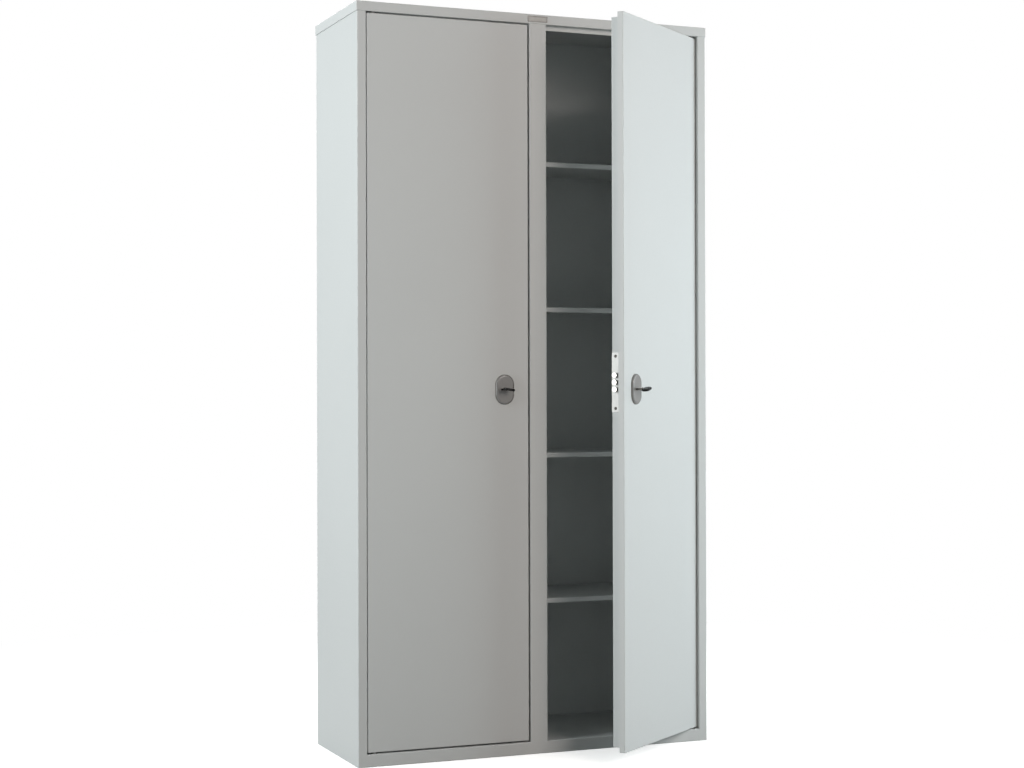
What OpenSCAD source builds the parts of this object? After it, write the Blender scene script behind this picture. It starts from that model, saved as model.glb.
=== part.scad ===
// Document cabinet: two bays side by side in one body of folded sheet steel. Each bay has
// four shelves on hooks, and a boxed door on two pivot pins with a lock of three round bolts.
// Millimetres. X to the right, Y to the back, Z up. The origin is the middle of the base,
// on the floor. The left door stands closed, the right one stands open as photographed.

/* [Body] */
// Width over the side panels
body_w = 920; // [880:10:1000]
// Height over the roof cap
body_h = 1800; // [1760:10:1900]
// Depth over the roof cap
body_d = 340; // [320:5:420]
// Thickness of the body sheet
body_sheet = 1.2; // [1:0.1:1.4]
// Outer radius of the bends in the body sheet
body_bend = 2; // [1.6:0.1:2.6]
// Width of the stile that each side panel folds to at the front
stile_w = 22; // [18:1:30]
// Depth of the jamb behind each stile
jamb_d = 18; // [12:1:24]
// Width of the flange that each side panel folds to at the back
back_flange = 8; // [6:0.5:10]
// Thickness of the back panel, the partition and the uprights
inner_sheet = 1; // [0.8:0.1:1.2]
// Width of the post between the two doors
post_w = 45; // [42:1:60]
// Depth of the post between the two doors
post_d = 40; // [40:1:44]
// Width of the two flanges that close the post at its back
post_flange = 19.5; // [16:0.5:20]
// Width of the partition's two flanges
partition_flange = 8; // [7:0.5:10]

/* [Roof cap] */
// Overhang of the cap at the sides and the back
cap_overhang = 2; // [1.6:0.1:6]
// Height of the cap's rim, which is also the rail over the doors
cap_rim = 23.5; // [18:0.5:40]
// Depth of the return under the cap's front rim
cap_return = 13.2; // [12.4:0.2:13.2]
// Height of the strip that the doors close against
stop_h = 11.5; // [8:0.5:12]
// Height of the doubled edge of that strip
stop_hem = 5; // [3:0.5:7]
// Distance from each hinge axis to the end of that strip
stop_cutback = 12; // [11.5:0.5:30]
// Width of the plain name plate on the cap's rim
plate_w = 52; // [30:1:70]
// Height of the plain name plate on the cap's rim
plate_h = 15; // [8:1:16]
// Thickness of the plain name plate on the cap's rim
plate_t = 0.8; // [0.4:0.1:1.5]

/* [Base] */
// Height of the floor of the bays, which is also the rail under the doors
floor_z = 30; // [26:1:40]
// Depth of the return under the bottom rail
rail_return = 20; // [12:1:30]
// Width of the bearer under the middle of the floor
bearer_w = 40; // [24:1:80]
// Width of each flange of that bearer
bearer_flange = 25; // [15:1:35]
// Diameter of the anchor holes in the floor
anchor_d = 10.5; // [8:0.5:14]
// Distance between the anchor holes along the width
anchor_x = 800; // [600:10:840]
// Distance between the anchor holes along the depth
anchor_y = 220; // [120:10:240]

/* [Shelves] */
// Depth of the space between the door plane and the front of a shelf
shelf_setback = 40; // [40:1:60]
// Height of a shelf's edge
shelf_h = 12; // [8:1:30]
// Thickness of the shelf sheet
shelf_sheet = 1; // [0.8:0.1:1.2]
// Depth of the return under a shelf's front edge
shelf_return = 10; // [6:1:16]
// Play of a shelf at each side and at the back
shelf_play = 1; // [0.5:0.1:3]
// Depth of the slotted uprights, measured from the wall
upright_d = 8; // [6.5:0.5:12]
// Width of the slotted uprights
upright_w = 20; // [16:1:30]
// Distance from a shelf's front edge to the middle of the front uprights
upright_inset = 25; // [18:1:60]
// Distance between two slots of an upright
slot_pitch = 35.8; // [30:0.1:36]
// Height of the lowest slot over the floor of the bays
slot_start = 42; // [30:0.1:50]
// Slot, counted from the lowest, that carries the lowest shelf
slots_below = 8; // [6:1:9]
// Slots from one shelf to the next
slots_between = 10; // [8:1:10]
// Length of the ledge of a shelf hook
hook_reach = 12; // [8:1:20]
// Width of a shelf hook
hook_w = 8; // [5:0.5:10]
// Thickness of a shelf hook
hook_t = 2; // [1.5:0.1:2.5]
// Height of a shelf hook's tongue over its ledge
hook_tongue = 7; // [5:0.5:10]

/* [Doors] */
// Opening of the left door
left_open = 0; // [0:1:110]
// Opening of the right door
right_open = 38; // [0:1:110]
// Gap over and under a door
door_gap = 4; // [2.5:0.1:5]
// Gap beside a door at its lock
lock_gap = 4.2; // [3:0.1:6]
// Gap beside a door at its hinges
hinge_gap = 1.6; // [1.5:0.1:4]
// Distance from a door's hinge edge to its axis
axis_x = 16; // [16:1:24]
// Distance from a door's outer face to its axis
axis_y = 8; // [7.6:0.1:8]
// Depth of the edge of a door's outer skin
edge_d = 14.5; // [14.5:0.1:14.8]
// Thickness of a whole door
door_t = 36; // [35:0.5:36]
// Step from the edge of the skin to the side of the inner tray
tray_step = 10; // [9:0.5:11]
// Thickness of the door's outer sheet
skin_sheet = 1.2; // [1:0.1:1.4]
// Thickness of the door's inner sheet
tray_sheet = 1; // [0.8:0.1:1.2]
// Width of the flange inside the edge of the skin
skin_flange = 14; // [12.5:0.5:18]
// Width of the hat-shaped stiffener's crown
stiffener_w = 60; // [40:5:100]
// Width of each foot of the stiffener
stiffener_foot = 20; // [12:1:30]
// Space between the stiffener's ends and the ends of the tray
stiffener_end = 20; // [5:1:60]

/* [Hinges] */
// Diameter of a pivot pin
pin_d = 6; // [5:0.5:6]
// Length of a pivot pin inside the door
pin_reach = 14; // [10:1:30]
// Diameter of a pivot pin's head
pin_head_d = 12; // [10:0.5:14]
// Height of a pivot pin's head
pin_head_h = 3; // [2:0.5:5]
// Diameter of a bush's sleeve
bush_d = 10; // [9:0.5:10]
// Diameter of a bush's flange
bush_flange_d = 13; // [11.5:0.5:13]
// Length of a bush's sleeve
bush_l = 12; // [8:1:14]
// Clearance between a pin and its bush
pin_play = 0.05; // [0.02:0.01:0.08]
// Space left between a bush's flange and the body
bush_play = 0.3; // [0.2:0.1:0.6]

/* [Locks] */
// Height of the middle of the lock
lock_z = 902; // [800:1:1000]
// Distance from the door's free edge to the key's axis
key_inset = 62; // [58:1:63]
// Distance from the middle of the lock down to the key's axis
key_drop = 16; // [14:1:18]
// Length of the lock case
case_l = 95; // [92:1:110]
// Height of the lock case
case_h = 117; // [100:1:118]
// Depth of the lock case
case_d = 18; // [18:0.1:18.4]
// Wall of the lock case
case_wall = 1.5; // [1:0.1:1.5]
// Thickness of the cover on the lock case
cover_t = 1.6; // [1:0.1:1.8]
// Height of the faceplate
face_h = 141; // [135:1:150]
// Width of the faceplate
face_w = 19; // [16:0.5:20]
// Thickness of the faceplate
face_t = 2; // [1.5:0.1:2.5]
// Distance between the faceplate's two screws
screw_span = 123; // [122:1:127]
// Diameter of a bolt
bolt_d = 12; // [10:0.5:12]
// Distance between two bolts
bolt_pitch = 16.7; // [14:0.1:18]
// Length of a drawn bolt in front of the faceplate
bolt_out = 7; // [2:0.5:7]
// Throw of the bolts in one turn of the key
bolt_throw = 14; // [8:0.5:14]
// Space around a bolt in the wall of the case and in the post
bolt_room = 1; // [0.5:0.1:2]
// Clearance between the moving and the fixed pieces of the lock
lock_play = 0.1; // [0.05:0.01:0.1]
// Width of the keyhole's slot
keyhole_w = 22; // [21.2:0.1:22.4]
// Height of the keyhole's slot
keyhole_h = 4; // [3.2:0.1:5]
// Width of the escutcheon
escutcheon_w = 48; // [36:1:50]
// Height of the escutcheon
escutcheon_h = 73; // [60:1:80]
// Thickness of the escutcheon
escutcheon_t = 6; // [5.6:0.1:7]
// Radius of the escutcheon's edge
escutcheon_r = 5.2; // [1:0.1:5.4]

/* [Keys] */
// Turn of the left key from level, its free-edge side down
left_key_turn = 9; // [-20:1:20]
// Turn of the right key from level, its free-edge side down
right_key_turn = 14; // [-20:1:20]
// Diameter of the key's shaft
shaft_d = 5.6; // [5:0.1:6.6]
// Thickness of the key's bits
bit_t = 2.6; // [2:0.1:2.8]
// Distance from the face of the escutcheon to the key's bow
bow_out = 13; // [12:1:25]
// Width of the key's bow
bow_w = 29; // [24:1:32]
// Length of the key's bow
bow_l = 20; // [16:1:22]
// Thickness of the key's bow
bow_t = 5.6; // [4.2:0.1:6]

/* [Hidden] */
$fn = 48;
big = 1000;

// Planes of the body
front = -body_d / 2;
body_back = body_d / 2 - cap_overhang;
side_in = body_w / 2 - body_sheet;
roof_in = body_h - body_sheet;
rim_z = body_h - cap_rim;
back_in = body_back - body_sheet - inner_sheet;
opening_x = body_w / 2 - stile_w;
post_x = post_w / 2;
bend_r = body_bend - body_sheet / 2;
bend_in = body_bend - body_sheet;

// Strip that the doors close against, half a millimetre behind the edge of the skin
stop_play = 0.5;
stop_y = front + edge_d + stop_play;
stop_hook = 10;
stop_end_gap = 0.3;

// Doors, in a frame of their own: x runs from the hinge axis to the free edge, y runs back
hinge_x = opening_x - hinge_gap - axis_x;
hinge_y = front + axis_y;
door_x0 = -axis_x;
door_x1 = hinge_x - post_x - lock_gap;
door_y0 = -axis_y;
edge_y = door_y0 + edge_d;
door_y1 = door_y0 + door_t;
door_z0 = floor_z + door_gap;
door_z1 = rim_z - door_gap;
door_bend = 1.8;
tray_x0 = door_x0 + tray_step;
tray_x1 = door_x1 - tray_step;
tray_z0 = door_z0 + tray_step;
tray_z1 = door_z1 - tray_step;
tray_in = door_y1 - tray_sheet;
skin_in = door_y0 + skin_sheet;
stiffener_x = (tray_x0 + tray_x1 - case_l) / 2;

// Lock, in the frame of its door
key_x = door_x1 - key_inset;
key_z = lock_z - key_drop;
case_x1 = tray_x1 - tray_sheet;
case_x0 = case_x1 - case_l;
case_y0 = tray_in - case_d;
case_r = body_bend - tray_sheet + 0.2;
bolt_y = (case_y0 + tray_in) / 2;
face_x = tray_x1 + face_t;
bit_reach = keyhole_w / 2 - 0.7;
bit_room = bit_reach + 1.3;
bolt_root = key_x + bit_room + 1.2;
bolt_tip = face_x + bolt_out;
carriage_t = 3;
carriage_x0 = case_x0 + case_wall + 4.5;
carriage_x1 = bolt_root + 13;
carriage_edge = 4;
carriage_z1 = lock_z + 32;
lever_count = 3;
lever_t = 1.4;
lever_pitch = 1.9;
lever_x0 = key_x - 30;
lever_x1 = bolt_root - 2;
lever_pin_x = key_x - 18;
lever_pin_z = lock_z + 24;
lever_pin_r = 2.5;
screw_r = 2;
screw_head_r = 3.6;
screw_head_t = 1;
screw_l = 8;
screw_slot_l = 4.4;
screw_slot_w = 0.9;
screw_slot_t = 0.6;

// Key, in the frame of its door
face_y = door_y0 - escutcheon_t;
bow_y = face_y - bow_out;
bit_steps = [bit_reach, bit_reach - 1.9, bit_reach - 0.8, bit_reach - 2.7, bit_reach];
bit_step_l = 2.8;
bit_y = case_y0 + 1;
tip_gap = 0.2;
tang_w = 6;
tang_t = 2;
tang_l = 8;
collar_d = 7.6;
collar_l = 2;
bow_edge = 1.9;
bow_hole_d = 5;

// Shelves and uprights
bay_count = 2;
shelf_count = 4;
bay_in0 = inner_sheet / 2;
slot_w = 10;
slot_h = 6;
slot_count = floor((roof_in - floor_z - slot_start - slot_pitch) / slot_pitch) + 1;
shelf_front = front + shelf_setback;
shelf_back = back_in - shelf_play;
upright_front = shelf_front + upright_inset;
upright_back = shelf_back - upright_inset;
shelf_x0 = bay_in0 + upright_d + shelf_play;
shelf_x1 = side_in - upright_d - shelf_play;

// Height of the underside of shelf k, counted from below
function shelf_z(k) = floor_z + slot_start + (slots_below + k * slots_between) * slot_pitch + hook_t;

// Rectangle with a radius at each corner, in the order low left, low right, high right, high left
module panel(x0, y0, x1, y1, radii) {
  difference() {
    translate([x0, y0]) square([x1 - x0, y1 - y0]);
    for (i = [0 : 3]) {
      r = radii[i];
      sx = (i == 0 || i == 3) ? 1 : -1;
      sy = (i < 2) ? 1 : -1;
      if (r > 0) translate([sx > 0 ? x0 : x1, sy > 0 ? y0 : y1]) difference() {
        translate([sx > 0 ? 0 : -r, sy > 0 ? 0 : -r]) square(r);
        translate([sx * r, sy * r]) circle(r);
      }
    }
  }
}

// Bent sheet seen on its edge: straight runs along its middle line, joined by square bends
module bent_sheet(line, t, r) {
  last = len(line) - 1;
  for (i = [0 : last - 1]) {
    a = line[i];
    b = line[i + 1];
    u = (b - a) / norm(b - a);
    n = [-u[1], u[0]] * t / 2;
    from = i == 0 ? a : a + u * r;
    to = i == last - 1 ? b : b - u * r;
    polygon([from - n, to - n, to + n, from + n]);
  }
  for (i = [1 : last - 1]) {
    u = (line[i] - line[i - 1]) / norm(line[i] - line[i - 1]);
    v = (line[i + 1] - line[i]) / norm(line[i + 1] - line[i]);
    c = line[i] + (v - u) * r;
    far = r + t;
    intersection() {
      translate(c) difference() {
        circle(r + t / 2);
        circle(r - t / 2);
      }
      polygon([c, c + u * far, c + (u - v) * far, c - v * far]);
    }
  }
}

// Block with its upright edges and the edges of its top rounded, and its low front edge too
module soft_block(x0, x1, y0, y1, z0, z1, r, low) {
  intersection() {
    translate([0, 0, z0]) linear_extrude(z1 - z0) panel(x0, y0, x1, y1, [r, r, r, r]);
    translate([0, y1, 0]) rotate([90, 0, 0]) linear_extrude(y1 - y0) panel(x0, z0, x1, z1, [0, 0, r, r]);
    translate([x0, 0, 0]) rotate([90, 0, 90]) linear_extrude(x1 - x0) panel(y0, z0, y1, z1, [low, 0, r, r]);
  }
}

// Cover pressed from one sheet: a top, four turned-down edges and a return under the front one
module hemmed_cover(x0, x1, y0, y1, z0, z1, t, r, back_turn) {
  difference() {
    soft_block(x0, x1, y0, y1, z0, z1, r, r);
    soft_block(x0 + t, x1 - t, y0 + t, y1 - t, z0 + t, z1 - t, r - t, r - t);
    translate([x0 + t, y0 + back_turn, z0 - t]) cube([x1 - x0 - 2 * t, y1 - y0 - back_turn - t, 3 * t]);
  }
}

// Long plate with round ends, its edges rounded at the top, and at the bottom too where low is set
module soft_oblong(l, w, t, r, low) {
  span = (l - w) / 2;
  for (s = [-1, 1]) translate([0, s * span, 0]) rotate_extrude() panel(0, 0, w / 2, t, [0, low, r, 0]);
  translate([0, span, 0]) rotate([90, 0, 0]) linear_extrude(2 * span) panel(-w / 2, 0, w / 2, t, [low, low, r, r]);
}

// Places what is drawn in a door's frame: side -1 is the left door, side 1 the right one
module at_door(side) {
  turn = side < 0 ? -left_open : right_open;
  translate([side * hinge_x, hinge_y, 0]) rotate([0, 0, turn]) mirror([side > 0 ? 1 : 0, 0, 0]) children();
}

// Draws its children for the bay at one side of the middle
module at_bay(side) mirror([side < 0 ? 1 : 0, 0, 0]) children();

// Body

module roof_cap() color("gainsboro") difference() {
  half = body_w / 2 + cap_overhang;
  hemmed_cover(-half, half, front, body_d / 2, rim_z, body_h, body_sheet, body_bend, cap_return);
  for (side = [-1, 1]) translate([side * hinge_x, hinge_y, rim_z - body_sheet])
    cylinder(h = 3 * body_sheet, r = pin_d / 2 + pin_play);
}

// Right side panel, folded to a stile and a jamb at the front and to a flange at the back
module side_panel(side) color("gainsboro") at_bay(side) difference() {
  wall = body_w / 2 - body_sheet / 2;
  jamb = opening_x + body_sheet / 2;
  fore = front + body_sheet / 2;
  aft = body_back - body_sheet / 2;
  linear_extrude(roof_in)
    bent_sheet([[wall - back_flange, aft], [wall, aft], [wall, fore], [jamb, fore], [jamb, front + jamb_d]],
      body_sheet, bend_r);
  translate([opening_x - body_bend, front - body_bend, rim_z])
    cube([stile_w + 2 * body_bend, jamb_d + 2 * body_bend, cap_rim]);
}

module back_panel() color("gainsboro")
  translate([bend_in - side_in, back_in, 0]) cube([2 * (side_in - bend_in), inner_sheet, roof_in]);

// Floor of the bays, whose front edge folds down to the bottom rail
module floor_pan() color("gainsboro") difference() {
  top = floor_z - body_sheet / 2;
  fore = front + body_sheet / 2;
  behind = front + jamb_d + body_sheet;
  skirt = floor_z - 2 * body_sheet;
  union() {
    translate([-opening_x, 0, 0]) rotate([90, 0, 90]) linear_extrude(2 * opening_x)
      bent_sheet([[behind + 1, top], [fore, top], [fore, body_sheet / 2], [front + rail_return, body_sheet / 2]],
        body_sheet, bend_r);
    translate([-side_in, behind, floor_z - body_sheet]) cube([2 * side_in, back_in - behind, body_sheet]);
    for (side = [-1, 1]) translate([side > 0 ? side_in - body_sheet : -side_in, behind, floor_z - skirt])
      cube([body_sheet, back_in - behind, skirt]);
    translate([-side_in, back_in - body_sheet, floor_z - skirt]) cube([2 * side_in, body_sheet, skirt]);
  }
  for (side = [-1, 1]) translate([side * hinge_x, hinge_y, floor_z - 2 * body_sheet])
    cylinder(h = 3 * body_sheet, r = pin_d / 2 + pin_play);
  for (x = [-1, 1], y = [-1, 1]) translate([x * anchor_x / 2, y * anchor_y / 2, floor_z - 2 * body_sheet])
    cylinder(h = 3 * body_sheet, r = anchor_d / 2);
}

// Hat-shaped bearer under the partition, which stands on the floor in the middle of the base
module floor_bearer() color("gainsboro") {
  top = floor_z - body_sheet * 1.5;
  half = bearer_w / 2 - body_sheet / 2;
  translate([0, back_in - body_sheet, 0]) rotate([90, 0, 0])
    linear_extrude(back_in - body_sheet - front - rail_return)
      bent_sheet([[-half - bearer_flange, top], [-half, top], [-half, body_sheet / 2], [half, body_sheet / 2],
        [half, top], [half + bearer_flange, top]], body_sheet, bend_r);
}

// Post between the doors, with the holes that the bolts are thrown into
module centre_post() color("gainsboro") difference() {
  half = post_x - body_sheet / 2;
  fore = front + body_sheet / 2;
  aft = front + post_d - body_sheet / 2;
  translate([0, 0, floor_z]) linear_extrude(rim_z - floor_z)
    bent_sheet([[post_flange - post_x, aft], [-half, aft], [-half, fore], [half, fore], [half, aft],
      [post_x - post_flange, aft]], body_sheet, bend_r);
  for (i = [-1 : 1]) translate([-post_w, hinge_y + bolt_y, lock_z + i * bolt_pitch]) rotate([0, 90, 0])
    cylinder(h = 2 * post_w, r = bolt_d / 2 + bolt_room);
}

// Sheet between the bays: one flange lies inside the post, the other on the back panel
module partition() color("gainsboro") {
  fore = front + post_d - body_sheet - inner_sheet / 2;
  aft = back_in - inner_sheet / 2;
  translate([0, 0, floor_z]) linear_extrude(roof_in - floor_z)
    bent_sheet([[partition_flange, fore], [0, fore], [0, aft], [partition_flange, aft]], inner_sheet, bend_r);
}

// Strip hooked over the cap's return, with a doubled lower edge, cut back at the hinge
module stop_strip(side) color("gainsboro") at_bay(side) {
  x0 = post_x + stop_end_gap;
  x1 = hinge_x - stop_cutback;
  hook = rim_z + body_sheet * 1.5;
  leg = stop_y + body_sheet / 2;
  translate([x0, 0, 0]) rotate([90, 0, 90]) linear_extrude(x1 - x0) {
    bent_sheet([[leg - stop_hook, hook], [leg, hook], [leg, rim_z - stop_h]], body_sheet, bend_r);
    panel(stop_y, rim_z - stop_h, stop_y + 2 * body_sheet, rim_z - stop_h + stop_hem, [0, 0, 0, 0]);
  }
}

module name_plate() color("silver")
  translate([-plate_w / 2, front - plate_t, body_h - cap_rim / 2 - plate_h / 2])
    cube([plate_w, plate_t, plate_h]);

// Shelves

// Slotted upright i: odd ones stand on the partition, even ones on the side panel, 3 and 4 behind
module upright(side, i) color("lightgray") at_bay(side) {
  at_wall = i % 2 == 0;
  root = at_wall ? side_in : bay_in0;
  face = root + (at_wall ? -1 : 1) * (upright_d - inner_sheet / 2);
  middle = i > 2 ? upright_back : upright_front;
  half = upright_w / 2 - inner_sheet / 2;
  difference() {
    translate([0, 0, floor_z]) linear_extrude(roof_in - floor_z)
      bent_sheet([[root, middle - half], [face, middle - half], [face, middle + half], [root, middle + half]],
        inner_sheet, bend_r);
    for (k = [0 : slot_count - 1]) translate([face - inner_sheet, middle - slot_w / 2,
      floor_z + slot_start + k * slot_pitch]) cube([2 * inner_sheet, slot_w, slot_h]);
  }
}

module shelf(side, k) color("lightgray") at_bay(side)
  hemmed_cover(shelf_x0, shelf_x1, shelf_front, shelf_back, shelf_z(k), shelf_z(k) + shelf_h,
    shelf_sheet, body_bend, shelf_return);

// Hook with its tongue up behind the upright's sheet and its ledge under the edge of a shelf
module shelf_hook() {
  behind = inner_sheet + 0.3;
  rotate([90, 0, 0]) translate([0, 0, -hook_w / 2]) linear_extrude(hook_w)
    polygon([[hook_reach, 0], [-behind, 0], [-behind, hook_tongue], [-behind - hook_t, hook_tongue],
      [-behind - hook_t, -hook_t], [hook_reach, -hook_t]]);
}

module shelf_hooks(side) color("silver") at_bay(side)
  for (k = [0 : shelf_count - 1], y = [upright_front, upright_back]) {
    translate([bay_in0 + upright_d, y, shelf_z(k)]) shelf_hook();
    translate([side_in - upright_d, y, shelf_z(k)]) mirror([1, 0, 0]) shelf_hook();
  }

// Hinges

module pivot_pin(reach) {
  cylinder(h = body_sheet + reach, r = pin_d / 2);
  translate([0, 0, -pin_head_h]) cylinder(h = pin_head_h, r = pin_head_d / 2);
}

// The upper pin hangs from the cap's return, the lower one stands in the floor pan
module hinge_pins(side) color("silver") translate([side * hinge_x, hinge_y, 0]) {
  translate([0, 0, rim_z + body_sheet]) mirror([0, 0, 1]) pivot_pin(door_gap + pin_reach);
  translate([0, 0, floor_z - body_sheet]) pivot_pin(door_gap + pin_reach);
}

module pivot_bush() rotate_extrude() {
  bore = pin_d / 2 + pin_play;
  panel(bore, -bush_l, bush_d / 2, 0, [0, 0, 0, 0]);
  panel(bore, 0, bush_flange_d / 2, door_gap - bush_play, [0, 0, 0, 0]);
}

module hinge_bushes(side) color("whitesmoke") at_door(side) {
  translate([0, 0, door_z1]) pivot_bush();
  translate([0, 0, door_z0]) mirror([0, 0, 1]) pivot_bush();
}

// Doors

// Keyhole for a key with two bits: a level slot through a round hole
module keyhole() {
  circle(shaft_d / 2 + lock_play);
  square([keyhole_w, keyhole_h], center = true);
}

// Outer skin: a face with four turned edges, and a flange inside them that the tray is welded to
module door_skin(side) color("gainsboro") at_door(side) difference() {
  middle = edge_y + door_z0 + door_z1;
  translate([0, edge_y, 0]) rotate([90, 0, 0])
    soft_block(door_x0, door_x1, door_z0, door_z1, 0, edge_d, door_bend, 0);
  translate([0, edge_y - skin_sheet, 0]) rotate([90, 0, 0])
    soft_block(door_x0 + skin_sheet, door_x1 - skin_sheet, door_z0 + skin_sheet, door_z1 - skin_sheet,
      0, edge_d - 2 * skin_sheet, door_bend - skin_sheet, 0);
  translate([door_x0 + skin_flange, edge_y - 2 * skin_sheet, door_z0 + skin_flange])
    cube([door_x1 - door_x0 - 2 * skin_flange, 3 * skin_sheet, door_z1 - door_z0 - 2 * skin_flange]);
  for (z = [door_z0, door_z1]) translate([0, 0, z - 2 * skin_sheet])
    cylinder(h = 4 * skin_sheet, r = bush_d / 2 + pin_play);
  translate([key_x, skin_in + skin_sheet, key_z]) rotate([90, 0, 0]) linear_extrude(3 * skin_sheet)
    square([keyhole_w + keyhole_h, 3 * keyhole_h], center = true);
}

// Inner tray: the back of the door, with four sides that run forward to the skin's flange
module door_tray(side) color("gainsboro") at_door(side) difference() {
  translate([0, edge_y, 0]) rotate([-90, 0, 0])
    soft_block(tray_x0, tray_x1, -tray_z1, -tray_z0, 0, door_y1 - edge_y, body_bend, 0);
  translate([0, edge_y - tray_sheet, 0]) rotate([-90, 0, 0])
    soft_block(tray_x0 + tray_sheet, tray_x1 - tray_sheet, tray_sheet - tray_z1, -tray_z0 - tray_sheet,
      0, door_y1 - edge_y, body_bend - tray_sheet, 0);
  for (i = [-1 : 1]) translate([case_x1 - tray_sheet, bolt_y, lock_z + i * bolt_pitch]) rotate([0, 90, 0])
    cylinder(h = 4 * tray_sheet, r = bolt_d / 2 + bolt_room);
  for (i = [-1, 1]) translate([case_x1 - tray_sheet, bolt_y, lock_z + i * screw_span / 2])
    rotate([0, 90, 0]) cylinder(h = 4 * tray_sheet, r = screw_r + lock_play);
}

// Hat-shaped stiffener: its feet lie on the skin, its crown on the tray
module door_stiffener(side) color("lightgray") at_door(side) {
  foot = skin_in + tray_sheet / 2;
  crown = tray_in - tray_sheet / 2;
  half = stiffener_w / 2;
  translate([stiffener_x, 0, tray_z0 + stiffener_end]) linear_extrude(tray_z1 - tray_z0 - 2 * stiffener_end)
    bent_sheet([[-half - stiffener_foot, foot], [-half, foot], [-half, crown], [half, crown], [half, foot],
      [half + stiffener_foot, foot]], tray_sheet, bend_r);
}

// Locks

// Open box on the back of the tray, with the post that the levers turn on
module lock_case(side) color("silver") at_door(side) {
  z0 = lock_z - case_h / 2;
  difference() {
    translate([0, 0, z0]) linear_extrude(case_h)
      panel(case_x0, case_y0, case_x1, tray_in, [0, 0, case_r, case_r]);
    translate([case_x0 + case_wall, case_y0 - case_wall, z0 + case_wall])
      cube([case_l - 2 * case_wall, case_d, case_h - 2 * case_wall]);
    for (i = [-1 : 1]) translate([case_x1 - 2 * case_wall, bolt_y, lock_z + i * bolt_pitch])
      rotate([0, 90, 0]) cylinder(h = 3 * case_wall, r = bolt_d / 2 + bolt_room);
    translate([key_x, tray_in + case_wall, key_z]) rotate([90, 0, 0])
      cylinder(h = 3 * case_wall, r = shaft_d / 2 + pin_play);
  }
  translate([lever_pin_x, tray_in - case_wall, lever_pin_z]) rotate([90, 0, 0])
    cylinder(h = case_d - case_wall, r = lever_pin_r);
}

module lock_cover(side) color("silver") at_door(side)
  translate([0, case_y0, 0]) rotate([90, 0, 0]) linear_extrude(cover_t) difference() {
    translate([case_x0, lock_z - case_h / 2]) square([case_l, case_h]);
    translate([key_x, key_z]) keyhole();
  }

// Levers around the space that the key's bits turn in
module lock_levers(side) color("goldenrod") at_door(side)
  for (i = [0 : lever_count - 1]) translate([0, case_y0 + 0.6 + i * lever_pitch + lever_t, 0])
    rotate([90, 0, 0]) linear_extrude(lever_t) difference() {
      translate([lever_x0, key_z - bit_room - 8]) square([lever_x1 - lever_x0, carriage_z1 - key_z + bit_room + 8]);
      translate([key_x, key_z]) circle(bit_room);
      translate([lever_pin_x, lever_pin_z]) circle(lever_pin_r + pin_play);
    }

// Three round bolts on one plate, whose windows clear the key and the lever post over the throw
module bolts(side) color("silver") at_door(side) {
  z0 = key_z - bit_room - carriage_edge;
  translate([0, bolt_y + carriage_t / 2, 0]) rotate([90, 0, 0]) linear_extrude(carriage_t) difference() {
    translate([carriage_x0, z0]) square([carriage_x1 - carriage_x0, carriage_z1 - z0]);
    translate([key_x, key_z]) throw_window(bit_room);
    translate([lever_pin_x, lever_pin_z]) throw_window(lever_pin_r + 3 * lock_play);
  }
  for (i = [-1 : 1]) translate([bolt_root, bolt_y, lock_z + i * bolt_pitch]) rotate([0, 90, 0])
    cylinder(h = bolt_tip - bolt_root, r = bolt_d / 2);
}

module throw_window(r) {
  for (x = [-bolt_throw, 0]) translate([x, 0]) circle(r);
  translate([-bolt_throw, -r]) square([bolt_throw, 2 * r]);
}

module faceplate(side) color("silver") at_door(side) difference() {
  translate([tray_x1, bolt_y - face_w / 2, lock_z - face_h / 2]) cube([face_t, face_w, face_h]);
  for (i = [-1 : 1]) translate([tray_x1 - face_t, bolt_y, lock_z + i * bolt_pitch]) rotate([0, 90, 0])
    cylinder(h = 3 * face_t, r = bolt_d / 2 + lock_play);
  for (i = [-1, 1]) translate([tray_x1, bolt_y, lock_z + i * screw_span / 2]) rotate([0, 90, 0]) {
    translate([0, 0, -face_t]) cylinder(h = 3 * face_t, r = screw_r + lock_play);
    translate([0, 0, face_t - screw_head_t]) cylinder(h = 2 * screw_head_t, r = screw_head_r + lock_play);
  }
}

module faceplate_screws(side) color("silver") at_door(side)
  for (i = [-1, 1]) translate([face_x, bolt_y, lock_z + i * screw_span / 2]) rotate([0, -90, 0]) difference() {
    union() {
      cylinder(h = screw_head_t, r = screw_head_r);
      cylinder(h = screw_l, r = screw_r);
    }
    for (turn = [0, 90]) rotate([0, 0, turn])
      cube([screw_slot_l, screw_slot_w, 2 * screw_slot_t], center = true);
  }

module escutcheon(side) color("darkgray") at_door(side)
  translate([key_x, door_y0, key_z]) rotate([90, 0, 0]) difference() {
    soft_oblong(escutcheon_h, escutcheon_w, escutcheon_t, escutcheon_r, 0);
    translate([0, 0, -escutcheon_t]) linear_extrude(3 * escutcheon_t) keyhole();
  }

// Keys

// Places what is drawn around the key's axis, with the key turned as it stands in its lock
module at_key(side) at_door(side)
  translate([key_x, 0, key_z]) rotate([0, side < 0 ? left_key_turn : right_key_turn, 0]) children();

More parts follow.
